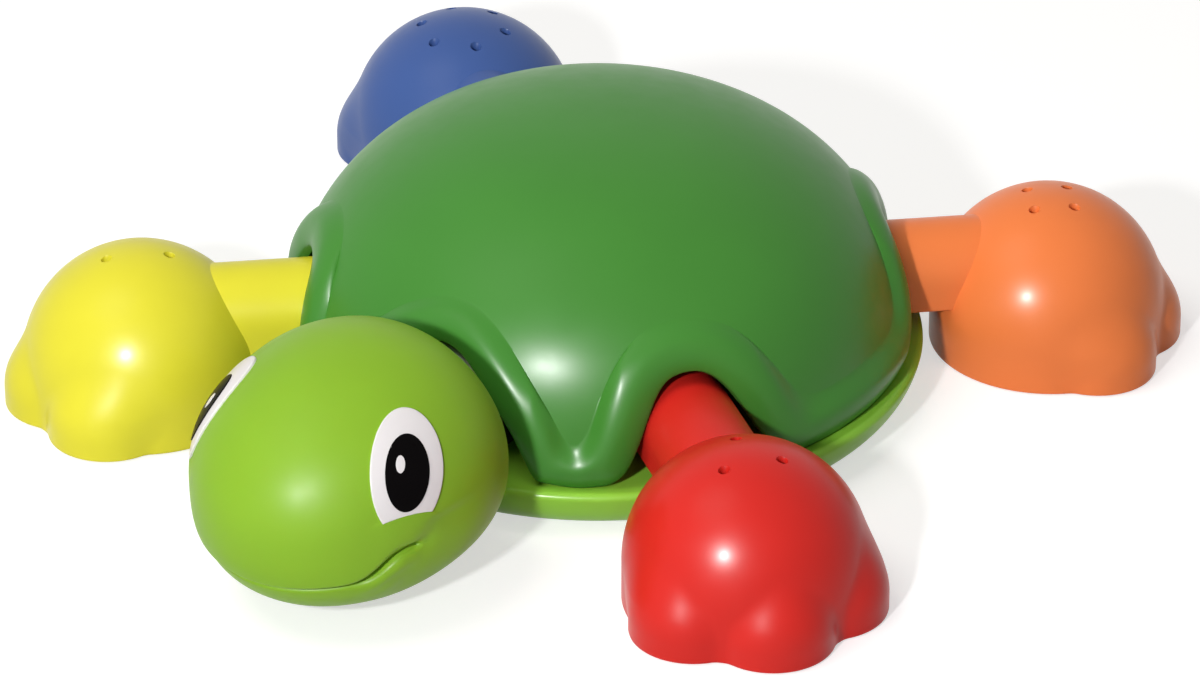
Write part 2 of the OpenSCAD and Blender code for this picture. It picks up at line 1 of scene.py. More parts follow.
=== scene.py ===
"""Looks of the squeaky bath turtle: shell, hull, head, eyes and scoop feet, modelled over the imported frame.

Lengths in the formulas are millimetres and angles are degrees, in the frame's axes: the origin is the
middle of the belly, +Z is up and the head faces -Y. A mesh is scaled to metres when it is made.
"""

import math

import bpy
import numpy as np
from mathutils import Matrix, Vector


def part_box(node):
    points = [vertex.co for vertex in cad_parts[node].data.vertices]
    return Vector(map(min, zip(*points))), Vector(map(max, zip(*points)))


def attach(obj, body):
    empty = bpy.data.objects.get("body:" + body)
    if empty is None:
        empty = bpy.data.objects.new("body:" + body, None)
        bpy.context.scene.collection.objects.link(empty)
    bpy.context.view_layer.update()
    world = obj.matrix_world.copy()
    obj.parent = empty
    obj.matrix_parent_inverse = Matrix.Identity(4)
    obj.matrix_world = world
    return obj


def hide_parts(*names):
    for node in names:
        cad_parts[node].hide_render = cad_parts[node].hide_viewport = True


MM = 0.001

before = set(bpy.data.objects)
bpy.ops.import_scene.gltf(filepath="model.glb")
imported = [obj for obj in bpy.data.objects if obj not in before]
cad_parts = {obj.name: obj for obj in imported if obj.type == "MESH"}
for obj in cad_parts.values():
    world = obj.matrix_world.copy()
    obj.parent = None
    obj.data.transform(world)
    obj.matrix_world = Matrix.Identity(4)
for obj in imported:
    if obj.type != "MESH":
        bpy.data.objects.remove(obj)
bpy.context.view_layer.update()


# Sizes

# A cutter reaches this far past what it cuts
overrun = 1

# Hull
hull_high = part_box("hull")[1]
hull_r = hull_high.x / MM
hull_h = hull_high.z / MM
hull_bowl_across = 12
hull_bowl_up = 17
hull_bowl_flare = 0.3
hull_wall = 2.5
lip_round = 2
lip_inner_r = 94.5
lip_inner_round = 0.2
lip_gap = 0.03
deck_drop = 0.5
deck_t = 2.5
seal_t = 1
deck_top = hull_h - deck_drop
deck_z = deck_top - deck_t
seal_z = deck_z - seal_t
ledge_t = 2.4
ledge_w = 6
ledge_root = 1.4
inside_slope_in = 4
inside_slope_down = 3

# Screws through the hull
boss_reach = 50
boss_r = 4.4
column_r = 6.3
column_z = 1
recess_r = 3.5
recess_chamfer = 0.3
screw_hole_r = 1.8
screw_places = [(boss_reach, 0), (0, boss_reach), (-boss_reach, 0), (0, -boss_reach)]

# Arms
arm_angle = 39.7
arm_w = 30
arm_h = 22.8
arm_z = 19.5
arm_wall = 2.5
arm_start = 60
arm_corner = 1.2
arm_corner_inside = 0.4

# Shell
shell_r = 93.5
shell_h = 70
shell_squareness = 2.2
shell_wall = 2.5
widest_rise = 2
crown_gap = 1
normal_probe = 0.6

# The shell's scalloped edge: lobes, and arches over the arms and the neck
lobe_middle = 61.2
lobe_round_r = 38
lobe_round_rise = 1.5
arch_h = 33
gentle_span = 24.5
gentle_past_arm = 1
gentle_steepness = 2.2
steep_before_arm = 3.6
steep_start = arm_angle - steep_before_arm
steep_span = 21.8
steep_lean = 1.38
steep_steepness = 2.6
neck_arch_h = 36.5
neck_start = 67.5
neck_span = 90 - neck_start
neck_foot = 0.13

# The shell's rolled rim. Fullness is the power that shapes its section: the less, the squarer
rim_w = 16
rim_w_at_neck = 13.8
rim_w_at_lobe = 11.7
rim_pinch = 2.4
rim_neck_blend = 6
rim_proud = 3.4
rim_proud_at_top = 2.4
rim_fullness = 0.6
rim_fullness_inside = 0.42
rim_fullness_at_top = 1.6
rim_softness_at_lobe = 1
lobe_tip_w = 8
front_lobe_round = 4.4
side_lobe_round = 8
side_lobe_span = 24

# Feet
foot_reach = 139
foot_r = 36
foot_skirt = 13.5
foot_wall = 2.5
foot_edge_round = 0.9
foot_middle_z = 10
foot_inside_drop = 4
hole_d = 3
hole_chamfer = 0.35
chamfer_below = 0.6
chamfer_above = 0.1
drill_flare = 0.6
drill_above = 2.2

# Toes, and how softly they blend into the foot: more so with height, on each toe and outside them
toe_r = 18.5
toe_reach = 41.8
toe_ring = toe_reach - toe_r
toe_z = 6
toe_spread = 60
toe_span = 14
toe_blend = 0.3
toe_blend_rise = 0.25
dome_blend = 0.8
dome_blend_rise = 0.06
on_toe_rise = 0.22
outside_toes_rise = 0.35
outside_toes = 55
outside_toes_span = 30
blend_top = 13

# Head
head_w = 88
head_front = 55
head_back = 46
head_nape = 30.5
head_top = 40
head_chin = 33.2
head_lift = 0.8
head_gap = 1.2
jaw_rise = 10
head_wall = 3
cavity_wall = head_wall + 1
bore_inside_nape = 3 * head_wall
crown_squareness = 2
jaw_squareness = 2.65
nape_sharpness = 12
head_reach = hull_r + head_gap + head_nape
head_z = head_chin + head_lift
head_middle = np.array([0, -head_reach, head_z])
nape_y = head_nape - head_reach

# Neck
neck_r = 14.5
neck_bore_r = 10.7
neck_behind_collar_front = 20.3
neck_bore_behind_collar_front = 21
collar_front_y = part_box("neck_collar")[0].y / MM
deck_clearance = 0.3
collar_foot_t = 1.5
neck_z = hull_h + deck_clearance + collar_foot_t + neck_r

# Mouth: elevations of its line, by azimuth from the snout
mouth_middle = -15.6
mouth_corner = 57.5
mouth_slow_rise = 1
mouth_slow_end = 30
mouth_quick_rise = 9.3
mouth_quick_start = 32
mouth_quick_end = 55

# Lips and the groove between them. Shares are of the way to the mouth's corner
groove_depth = 2.5
groove_corner_depth = 2.9
groove_w = 0.95
groove_corner_w = 1.1
groove_end_share = 0.96
groove_end_span_share = 0.09
upper_lip_w = 0.7
upper_lip_corner_w = 2.4
lower_lip_proud = 0.7
lower_lip_at = 4
lower_lip_w = 2.5
lip_tuck = 1.1
lip_roll = 26
corner_start_share = 0.5
corner_span_share = 0.3
corner_steepness = 1.6
corner_fade = 0.5
fade_start_share = 0.85
corner_fade_span_share = 0.15
tuck_fade_span_share = 0.25

# Hollow behind the corner of the mouth
hollow_depth = 0.9
hollow_azimuth = 60
hollow_azimuth_span = 5
hollow_elevation = -4.5
hollow_elevation_span = 4.5

# Muzzle, which stands proud of the jaw behind its ridge
muzzle_proud = 1.0
muzzle_azimuth = 57
muzzle_lean = 0.45
muzzle_start = -6
muzzle_span = 16
muzzle_end = 8
muzzle_end_span = 30
muzzle_low = -34
muzzle_low_span = 16
muzzle_high = 1
muzzle_high_span = 8

# Cheeks
cheek_r = 33
cheek_proud = 0.55
cheek_middle = -2
cheek_half_w = 10
cheek_fall = 8
cheek_edge = 0.7
cheek_back = 120

# Eyes
eye_azimuth = 56
eye_elevation = 26.8
eye_lean = 16
eye_w = 23.4
eye_h = 39
eye_place = (0.35, -1)
eye_cheek = 14.06
eye_cheek_shift = 3.5
pupil_w = 13.7
pupil_h = 22.3
pupil_place = (-0.4, -1.85)
glint_w = 2.7
glint_h = 4.9
glint_place = (-2.3, 0.8)

# How high the pads of an eye stand on the head
white_bottom = -0.3
white_top = 0.95
white_edge = 0.45
white_crown = 0.15
pupil_bottom = 0.3
pupil_top = 1.5
pupil_edge = 0.2
pupil_crown = 0.3
glint_bottom = 0.9
glint_top = 1.62
glint_edge = 0.06
glint_crown = 0.04

# Fineness of the meshes
meridian_steps = 2401
swing_steps = 121
rim_round_steps = 7
rim_round_end_weight = 0.1
edge_steps = 7201
shell_columns = 680
shell_crowding = 0.8
rim_rows = 29
rim_inside_rows = 9
rise_rows = 25
crown_rows = 56
boss_columns = 48
hull_columns = 320
hull_bowl_steps = 33
lip_steps = 13
screw_columns = 64
foot_columns = 384
foot_rows = 104
foot_inside_columns = 192
foot_inside_rows = 56
foot_row_power = 1.12
root_halvings = 36
arm_steps = 48
arch_steps = 65
corner_steps = 9
drill_columns = 40
head_columns = 376
head_upper_rows = 172
head_lower_rows = 70
head_row_power = 1.5
cavity_columns = 96
cavity_upper_rows = 40
cavity_lower_rows = 20
neck_columns = 96
eye_columns = 192
glint_columns = 64
pad_rows = 15
pad_edge_rows = 7


# Meshes

def ramp(u, steepness):
    """Climbs from 0 to 1 as u does, level at both ends."""
    c = np.clip(u, 0, 1)
    return c**steepness / (c**steepness + (1 - c) ** steepness)


def window(u, start, start_span, end, end_span):
    """Climbs from 0 to 1 from the start on, and falls back to 0 from the end on."""
    return ramp((u - start) / start_span, 2) * (1 - ramp((u - end) / end_span, 2))


def bell(distance, width, power=2):
    """1 where there is no distance, and falls to nearly 0 over the width."""
    return np.exp(-((distance / width) ** power))


def smooth_min(a, b, k):
    """The smaller of a and b, with the corner between them rounded over the width k."""
    h = np.maximum(k - np.abs(a - b), 0) / k
    return np.minimum(a, b) - h * h * k / 4


def arc(across, up, r, start, end, count):
    """Points of an arc from one angle to another."""
    turn = np.radians(np.linspace(start, end, count))
    return [(across + r * math.cos(t), up + r * math.sin(t)) for t in turn]


def mesh_object(name, points, faces):
    """An object from points in millimetres."""
    mesh = bpy.data.meshes.new(name)
    mesh.from_pydata((np.asarray(points, float) * MM).tolist(), [], faces)
    mesh.validate()
    obj = bpy.data.objects.new(name, mesh)
    bpy.context.scene.collection.objects.link(obj)
    return obj


def ring_skin(name, rings, first, last):
    """A closed skin through rings of equal length, between two end points."""
    rings = np.asarray(rings, float)
    count, n, _ = rings.shape
    points = np.concatenate([[first], rings.reshape(-1, 3), [last]])
    here = np.arange(n)
    after = (here + 1) % n
    faces = [[0, 1 + j, 1 + i] for i, j in zip(here, after)]
    for row in range(count - 1):
        a = 1 + row * n
        b = a + n
        faces += np.stack([a + here, a + after, b + after, b + here], 1).tolist()
    a = 1 + (count - 1) * n
    end = 1 + count * n
    faces += [[a + i, a + j, end] for i, j in zip(here, after)]
    return mesh_object(name, points, faces)


def turned(name, profile, columns):
    """A closed solid turned from a profile of (radius, height) points that starts and ends on the axis."""
    profile = np.asarray(profile, float)
    turn = np.arange(columns) * 2 * np.pi / columns
    radius = profile[1:-1, 0][:, None]
    height = np.broadcast_to(profile[1:-1, 1][:, None], (len(profile) - 2, columns))
    rings = np.stack([radius * np.cos(turn), radius * np.sin(turn), height], -1)
    return ring_skin(name, rings, [0, 0, profile[0, 1]], [0, 0, profile[-1, 1]])


def rod(name, radius, low, high, columns):
    """An upright cylinder between two heights."""
    return turned(name, [(0, low), (radius, low), (radius, high), (0, high)], columns)


def prism(name, outline, start, end, steps):
    """A solid along +X with an outline across it."""
    rings = [
        np.stack([np.full(len(outline), x), outline[:, 0], outline[:, 1]], -1)
        for x in np.linspace(start, end, steps)
    ]
    middle = outline.mean(0)
    return ring_skin(name, rings[::-1], [end, *middle], [start, *middle])


def moved(obj, matrix):
    """Moves the mesh itself, and keeps its faces outwards when the matrix mirrors."""
    obj.data.transform(matrix)
    if matrix.determinant() < 0:
        obj.data.flip_normals()
    return obj


def placed(obj, x, y, z):
    """Moves the mesh by millimetres."""
    return moved(obj, Matrix.Translation(Vector((x, y, z)) * MM))


def copied(obj, name):
    """A second object with a mesh of its own."""
    copy = bpy.data.objects.new(name, obj.data.copy())
    bpy.context.scene.collection.objects.link(copy)
    return copy


def joined(name, objs):
    """One object that holds the meshes of several."""
    points = []
    faces = []
    for obj in objs:
        start = len(points)
        points += [v.co / MM for v in obj.data.vertices]
        faces += [[start + i for i in p.vertices] for p in obj.data.polygons]
        bpy.data.objects.remove(obj)
    return mesh_object(name, points, faces)


def combined(obj, other, operation):
    """obj after a union with the other solid, or after the other solid is cut away."""
    modifier = obj.modifiers.new("combined", "BOOLEAN")
    modifier.operation = operation
    modifier.solver = "MANIFOLD"
    modifier.object = other
    depsgraph = bpy.context.evaluated_depsgraph_get()
    mesh = bpy.data.meshes.new_from_object(obj.evaluated_get(depsgraph))
    obj.modifiers.clear()
    obj.data = mesh
    bpy.data.objects.remove(other)
    return obj


def shaded(obj, crease):
    """Smooth shading, with edges over the crease angle kept sharp."""
    obj.data.shade_smooth()
    obj.data.set_sharp_from_angle(angle=math.radians(crease))
    return obj


def fitted(piece, body, node):
    """The piece rides on a body and hides the node that it stands for."""
    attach(piece, body)
    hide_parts(node)


# Shell

shell_base_z = hull_h + widest_rise
lobe_z = deck_top
meridian_q = np.radians(np.linspace(0, 90, meridian_steps))
meridian_power = 2 / shell_squareness
meridian = np.stack(
    [
        shell_r * np.maximum(np.cos(meridian_q), 0) ** meridian_power,
        shell_base_z + shell_h * np.sin(meridian_q) ** meridian_power,
    ],
    1,
)
meridian_length = np.concatenate([[0], np.cumsum(np.linalg.norm(np.diff(meridian, axis=0), axis=1))])
meridian_end = meridian_length[-1]


def length_at_z(z):
    """Length along the meridian at a height, less than 0 below the widest place."""
    return np.where(z <= shell_base_z, z - shell_base_z, np.interp(z, meridian[:, 1], meridian_length))


def meridian_point(m):
    """Radius and height at a length along the meridian."""
    r = np.where(m <= 0, shell_r, np.interp(m, meridian_length, meridian[:, 0]))
    z = np.where(m <= 0, shell_base_z + m, np.interp(m, meridian_length, meridian[:, 1]))
    return r, z


def dome_points(phi, m, lift):
    """Points of the dome at an angle and a length along the meridian, lifted along the normal."""
    r, z = meridian_point(m)
    r_up, z_up = meridian_point(np.minimum(m + normal_probe, meridian_end))
    r_down, z_down = meridian_point(m - normal_probe)
    chord = np.hypot(z_up - z_down, r_up - r_down)
    r = r + (z_up - z_down) / chord * lift
    z = z - (r_up - r_down) / chord * lift
    return np.stack([r * np.cos(phi), r * np.sin(phi), z], -1)


def side_angle(phi):
    """Degrees from the side of the shell, towards the head where positive."""
    return np.degrees(np.arctan2(-np.sin(phi), np.abs(np.cos(phi))))


def past_lobe(phi):
    """Length round the shell from the middle of a front lobe, towards the head where positive."""
    return shell_r * np.radians(side_angle(phi) - lobe_middle)


def side_lobe(phi):
    """1 in the middle of a side lobe and 0 from its arches on."""
    return bell(side_angle(phi), side_lobe_span, 4)


def lobe_tip(phi):
    """1 at the tip of a front lobe and 0 beside it."""
    return bell(past_lobe(phi), lobe_tip_w)


def arm_arch(side):
    """An arch over an arm: it climbs gently from the side lobe and falls steeply to the outer one."""
    gentle = ramp((side - arm_angle - gentle_past_arm + gentle_span) / gentle_span, gentle_steepness)
    fall = np.clip((side - steep_start) / steep_span, 0, 1)
    return gentle * (1 - ramp(fall**steep_lean, steep_steepness))


def neck_arch(side):
    """The arch over the neck: it leaves the lobe softly and is round at its top."""
    climb = np.clip((side - neck_start) / neck_span, 0, 1)
    return np.sin(np.pi / 2 * climb) * (1 - bell(climb, neck_foot))


def arch_share(phi):
    """How far the scalloped edge has climbed: 0 at a lobe and 1 at the top of an arch."""
    side = side_angle(phi)
    return arm_arch(np.abs(side)) + neck_arch(side)


def edge_z(phi):
    """Height of the scalloped edge: an arch over each arm and over the neck, and lobes between them."""
    side = side_angle(phi)
    rise = lobe_round_rise * (1 - np.exp(-(past_lobe(phi) ** 2) / (2 * lobe_round_r * lobe_round_rise)))
    rise = np.where(side > arm_angle, rise * (1 - arch_share(phi)), 0)
    return lobe_z + arch_h * arm_arch(np.abs(side)) + neck_arch_h * neck_arch(side) + rise


def rim_width(phi):
    """Width of the rolled rim: its inner line comes to a point over the front lobes."""
    beyond = (side_angle(phi) - lobe_middle + rim_neck_blend / 2) / rim_neck_blend
    wide = rim_w + (rim_w_at_neck - rim_w) * ramp(beyond, 2)
    return wide - (wide - rim_w_at_lobe) * bell(past_lobe(phi), rim_pinch)


def pointed_line(phi, share):
    """Length along the meridian of the line a share of the rim's width above the scalloped edge."""
    if share <= 0:
        return length_at_z(edge_z(phi))
    distance = rim_width(phi) * share
    swing = np.radians(np.linspace(-90, 90, swing_steps))[:, None]
    around = phi + distance * np.sin(swing) / shell_r
    return (length_at_z(edge_z(around)) + distance * np.cos(swing)).max(0)


def rim_line(phi, share):
    """The same line, rounded where it turns over a side lobe and a little at the tip of a front lobe."""
    reach = np.radians(side_lobe_round * side_lobe(phi) + front_lobe_round * lobe_tip(phi)) * share
    steps = np.linspace(-1, 1, rim_round_steps)
    weights = (1 + rim_round_end_weight - steps**2) ** 2
    lines = [w * pointed_line(phi + step * reach, share) for step, w in zip(steps, weights)]
    return sum(lines) / weights.sum()


def rim_lift(phi, share):
    """How far the rolled rim stands off the dome.

    It is crisp beside the front lobes, and softer at their tips, over the arches and on the side lobes.
    """
    top = arch_share(phi)
    proud = rim_proud + (rim_proud_at_top - rim_proud) * top
    fullness = rim_fullness
    if share > 0.5:
        soft = np.maximum(np.maximum(top, side_lobe(phi)), rim_softness_at_lobe * lobe_tip(phi))
        fullness = rim_fullness_inside + (rim_fullness_at_top - rim_fullness_inside) * soft
    return proud * np.sin(np.pi * share) ** fullness


def shell_angles():
    """Angles of the shell's columns, which stand closer where the scalloped edge climbs."""
    fine = np.linspace(0, 2 * np.pi, edge_steps)
    climb = np.abs(np.gradient(length_at_z(edge_z(fine)), fine)) / shell_r
    steps = np.diff(fine) * (1 + shell_crowding * (climb[1:] + climb[:-1]) / 2)
    spread = np.concatenate([[0], np.cumsum(steps)])
    return np.interp(np.arange(shell_columns) / shell_columns * spread[-1], spread, fine)


def make_shell():
    """The shell's wall, from its top down the outside, over the rim and up the inside, with four bosses."""
    phi = shell_angles()
    rim_top = rim_line(phi, 1)
    crown_start = length_at_z(np.array(lobe_z + neck_arch_h)) + rim_w + crown_gap

    def crown_ring(share, lift):
        """-1 is the rim's top, 0 a level ring above the arches and 1 the shell's top."""
        if share < 0:
            m = crown_start + (crown_start - rim_top) * share
        else:
            m = np.full(shell_columns, crown_start + (meridian_end - crown_start) * share)
        return dome_points(phi, m, lift)

    rise_shares = np.linspace(-1, 0, rise_rows)[1:-1]
    level_shares = np.linspace(0, 1, crown_rows)[:-1]
    crown_shares = np.concatenate([rise_shares, level_shares])
    rim_shares = (1 - np.cos(np.linspace(0, np.pi, rim_rows))) / 2
    inside_shares = np.linspace(0, 1, rim_inside_rows)
    rings = [crown_ring(share, 0) for share in crown_shares[::-1]]
    rings += [dome_points(phi, rim_line(phi, s), rim_lift(phi, s)) for s in rim_shares[::-1]]
    rings += [dome_points(phi, rim_line(phi, s), rim_lift(phi, s) - shell_wall) for s in inside_shares]
    rings += [crown_ring(share, -shell_wall) for share in crown_shares[1::3]]
    top_z = shell_base_z + shell_h
    pieces = [ring_skin("turtle_shell", rings, [0, 0, top_z], [0, 0, top_z - shell_wall])]
    boss_end = np.interp(boss_reach + boss_r, meridian[::-1, 0], meridian[::-1, 1]) - shell_wall / 2
    for x, y in screw_places:
        pieces.append(placed(rod("boss", boss_r, deck_top, boss_end, boss_columns), x, y, 0))
    return shaded(joined("turtle_shell", pieces), crease=32)


shell = make_shell()


# Hull

def make_hull():
    """A bowl with a rounded lip and a ledge for the seal, and four columns drilled for the screws."""
    bowl_r = hull_r + hull_bowl_flare - hull_bowl_across
    bowl = np.radians(np.linspace(-90, 0, hull_bowl_steps))
    outside = [(bowl_r + hull_bowl_across * math.cos(t), hull_bowl_up * (1 + math.sin(t))) for t in bowl]
    outside = [p for p in outside if p[1] < hull_h - lip_round]
    lip_r = bowl_r + hull_bowl_across * math.sqrt(1 - (1 - (hull_h - lip_round) / hull_bowl_up) ** 2)
    lip = [
        (lip_r - lip_round * (1 - math.cos(t)), hull_h - lip_round * (1 - math.sin(t)))
        for t in np.radians(np.linspace(0, 90, lip_steps))
    ]
    inner_r = hull_r - hull_wall
    inside = [
        (lip_inner_r + lip_inner_round, hull_h),
        (lip_inner_r, hull_h - lip_inner_round),
        (lip_inner_r, deck_top + lip_gap),
        (inner_r, deck_top + lip_gap),
        (inner_r, seal_z),
        (inner_r - ledge_w, seal_z),
        (inner_r - ledge_w, seal_z - ledge_t),
        (inner_r - ledge_root, seal_z - ledge_t),
        (inner_r - inside_slope_in, seal_z - ledge_t - inside_slope_down),
        (bowl_r, hull_wall),
    ]
    profile = [(0, 0)] + outside + lip + inside + [(0, hull_wall)]
    hull = turned("turtle_hull", profile, hull_columns)
    for x, y in screw_places:
        column = rod("column", column_r, column_z, deck_z, screw_columns)
        hull = combined(hull, placed(column, x, y, 0), "UNION")
    recess_end = deck_z - hull_wall
    recess_profile = [
        (0, -overrun),
        (recess_r + recess_chamfer, -overrun),
        (recess_r + recess_chamfer, 0),
        (recess_r, recess_chamfer),
        (recess_r, recess_end),
        (screw_hole_r, recess_end),
        (screw_hole_r, deck_z + overrun),
        (0, deck_z + overrun),
    ]
    for x, y in screw_places:
        recess = turned("recess", recess_profile, screw_columns)
        hull = combined(hull, placed(recess, x, y, 0), "DIFFERENCE")
    return shaded(hull, crease=28)


hull = make_hull()


# Feet

def foot_field(x, y, z):
    """How far a point lies outside the foot: a dome on a skirt, blended with three toes."""

    def upright(middle_x, middle_y, top_z, r):
        """A cylinder that ends in half a ball."""
        level = np.hypot(x - middle_x, y - middle_y)
        return np.where(z > top_z, np.sqrt(level**2 + (z - top_z) ** 2), level) - r

    height = np.clip(z, 0, blend_top)
    toes = None
    for k in (-1, 0, 1):
        turn = math.radians(k * toe_spread)
        toe = upright(toe_ring * math.cos(turn), toe_ring * math.sin(turn), toe_z, toe_r)
        toes = toe if toes is None else smooth_min(toes, toe, toe_blend + toe_blend_rise * height)
    around = np.abs(np.degrees(np.arctan2(y, x)))
    on_toe = bell(around, toe_span) + bell(around - toe_spread, toe_span)
    beside = ramp((around - outside_toes) / outside_toes_span, 2)
    rise = dome_blend_rise + on_toe_rise * on_toe + outside_toes_rise * beside
    return smooth_min(upright(0, 0, foot_skirt, foot_r), toes, dome_blend + height * rise)


def root(field, shape, nearest, farthest):
    """Where the field turns positive between two reaches, for each of many rays."""
    low = np.full(shape, float(nearest))
    high = np.full(shape, float(farthest))
    for _ in range(root_halvings):
        middle = (low + high) / 2
        outside = field(middle) > 0
        high = np.where(outside, middle, high)
        low = np.where(outside, low, middle)
    return (low + high) / 2


def foot_skin(name, columns, rows, inset, edge_round, floor):
    """The foot's skin as rays from a point inside it, from the floor to the top."""
    azimuth = np.arange(columns) * 2 * np.pi / columns
    ca, sa = np.cos(azimuth), np.sin(azimuth)
    ground = root(
        lambda r: foot_field(r * ca, r * sa, 0 * r) + inset,
        columns,
        nearest=8,
        farthest=60,
    )
    lowest = np.arctan2(-foot_middle_z, ground)
    share = np.linspace(0, 1, rows + 1)[:-1, None] ** foot_row_power
    elevation = lowest + (np.pi / 2 - lowest) * share
    ce, se = np.cos(elevation), np.sin(elevation)
    reach = root(
        lambda r: foot_field(r * ce * ca, r * ce * sa, foot_middle_z + r * se) + inset,
        elevation.shape,
        nearest=5,
        farthest=70,
    )
    height = np.maximum(foot_middle_z + reach * se, 0)
    level = reach * ce
    if edge_round > 0:
        low = np.clip(1 - height / edge_round, 0, 1)
        level = level - edge_round * (1 - np.sqrt(1 - low**2))
    rings = np.stack([level * ca, level * sa, height], -1)
    if floor < 0:
        foundation = np.stack([level[0] * ca, level[0] * sa, np.full(columns, floor)], -1)
        rings = np.concatenate([foundation[None], rings])
    return ring_skin(name, rings, [0, 0, floor], [0, 0, foot_skirt + foot_r - inset])


def arch_profile(w, bottom, top, corner):
    """An arch-shaped outline with rounded lower corners, as (across, up) points."""
    half = w / 2
    spring = top - half
    side = bottom + corner - spring
    side_shares = (0.33, 0.66)
    bottom_shares = (-0.5, 0, 0.5)
    points = arc(0, spring, half, 0, 180, arch_steps)
    points += [(-half, spring + side * share) for share in side_shares]
    points += arc(-half + corner, bottom + corner, corner, 180, 270, corner_steps)
    points += [((half - corner) * share, bottom) for share in bottom_shares]
    points += arc(half - corner, bottom + corner, corner, 270, 360, corner_steps)
    points += [(half, spring + side * share) for share in side_shares[::-1]]
    return np.array(points)


def make_foot_wall():
    """The wall of a foot and its arm along +X, before its holes."""
    wall = foot_skin("foot", foot_columns, foot_rows, inset=0, edge_round=foot_edge_round, floor=0)
    wall = placed(wall, foot_reach, 0, 0)
    outline = arch_profile(arm_w, arm_z, arm_z + arm_h, arm_corner)
    wall = combined(wall, prism("arm", outline, arm_start, foot_reach, arm_steps), "UNION")
    inside = foot_skin(
        "inside",
        foot_inside_columns,
        foot_inside_rows,
        inset=foot_wall,
        edge_round=0,
        floor=-foot_inside_drop,
    )
    wall = combined(wall, placed(inside, foot_reach, 0, 0), "DIFFERENCE")
    outline = arch_profile(
        arm_w - 2 * arm_wall, arm_z + arm_wall, arm_z + arm_h - arm_wall, arm_corner_inside
    )
    hollow = prism("hollow", outline, arm_start - overrun, foot_reach - foot_r - overrun, steps=3)
    return combined(wall, hollow, "DIFFERENCE")


def drill(radius, x, y):
    """A hole's cutter: straight up, and chamfered where it leaves the dome."""
    top = foot_skirt + math.sqrt(foot_r**2 - x**2 - y**2)
    wide = radius + hole_chamfer
    profile = [
        (0, foot_skirt),
        (radius, foot_skirt),
        (radius, top - chamfer_below),
        (wide, top + chamfer_above),
        (wide + drill_flare, top + drill_above),
        (0, top + drill_above),
    ]
    return placed(turned("drill", profile, drill_columns), foot_reach + x, y, 0)


def make_foot(name, wall, holes, ring, first):
    """A foot along +X with a ring of holes. The first hole's angle is from the arm's direction."""
    foot = copied(wall, name)
    for k in range(holes):
        turn = math.radians(first + k * 360 / holes)
        foot = combined(foot, drill(hole_d / 2, ring * math.cos(turn), ring * math.sin(turn)), "DIFFERENCE")
    return foot


foot_wall_solid = make_foot_wall()
feet = {}
for colour, side, end, node, body, holes, ring, first in [
    ("red", 1, -1, "cup_front_left", "front_left_foot", 3, 10.3, 60),
    ("yellow", -1, -1, "cup_front_right", "front_right_foot", 2, 9.6, 0),
    ("orange", 1, 1, "cup_rear_left", "rear_left_foot", 4, 8.9, 45),
    ("blue", -1, 1, "cup_rear_right", "rear_right_foot", 6, 13.9, 0),
]:
    foot = make_foot(colour + "_scoop_foot", foot_wall_solid, holes, ring, first)
    moved(foot, Matrix.Diagonal((side, end, 1, 1)) @ Matrix.Rotation(math.radians(arm_angle), 4, "Z"))
    fitted(shaded(foot, crease=30), body, node)
    feet[colour] = foot
bpy.data.objects.remove(foot_wall_solid)


# Head

def head_direction(a, e):
    """Unit vector by azimuth from the snout and elevation."""
    a, e = np.broadcast_arrays(np.radians(a), np.radians(e))
    return np.stack([np.cos(e) * np.sin(a), -np.cos(e) * np.cos(a), np.sin(e)], -1)


def head_radius(a, e, inset=0):
    """Distance of the plain head's skin from the head's middle."""
    d = head_direction(a, e)
    x, y, z = d[..., 0], d[..., 1], d[..., 2]
    k = np.where(z > 0, crown_squareness, jaw_squareness)
    jaw = head_chin - jaw_rise * (np.cos(np.radians(e)) + y) / 2
    tall = np.where(z > 0, head_top, jaw) - inset
    deep = np.where(y < 0, head_front, head_back) - inset
    level = np.hypot(x / (head_w / 2 - inset), y / deep)
    ball = (level**k + (np.abs(z) / tall) ** k) ** (-1 / k)
    nape = (head_nape - inset) / np.maximum(y, 1e-3)
    flat = (ball**-nape_sharpness + nape**-nape_sharpness) ** (-1 / nape_sharpness)
    return np.where(y > 0, flat, ball)


def mouth_elevation(a):
    """The mouth's line: nearly level under the snout, then up the cheek, and level again at its corner."""
    side = np.abs(a)
    slow = np.minimum(side / mouth_slow_end, 1) ** 2
    quick = ramp((side - mouth_quick_start) / (mouth_quick_end - mouth_quick_start), 2)
    return mouth_middle + mouth_slow_rise * slow + mouth_quick_rise * quick


def mouth_relief(a, e):
    """The mouth's groove, the lower lip rolled out beneath it, and the jaw tucked in under the lip."""
    above = (e - mouth_elevation(a)) * (head_radius(a, e) * math.pi / 180)
    below = np.maximum(-above, 0)
    share = np.abs(a) / mouth_corner
    open_mouth = 1 - ramp((share - groove_end_share) / groove_end_span_share, 2)
    fade = ramp((share - fade_start_share) / corner_fade_span_share, 2)
    toward_corner = ramp((share - corner_start_share) / corner_span_share, corner_steepness)
    toward_corner = toward_corner * (1 - corner_fade * fade)
    depth = groove_depth + (groove_corner_depth - groove_depth) * toward_corner
    lower_w = groove_w + (groove_corner_w - groove_w) * toward_corner
    upper_w = upper_lip_w + (upper_lip_corner_w - upper_lip_w) * toward_corner
    groove = depth * bell(above, np.where(above > 0, upper_w, lower_w))
    tuck_share = 1 - ramp((share - fade_start_share) / tuck_fade_span_share, 2)
    tuck = lip_tuck * tuck_share * np.maximum(1 - below / lip_roll, 0) ** 2 * (above < 0)
    lower_lip = lower_lip_proud * toward_corner * bell(below - lower_lip_at, lower_lip_w) * (above < 0)
    return open_mouth * (lower_lip - groove) - tuck


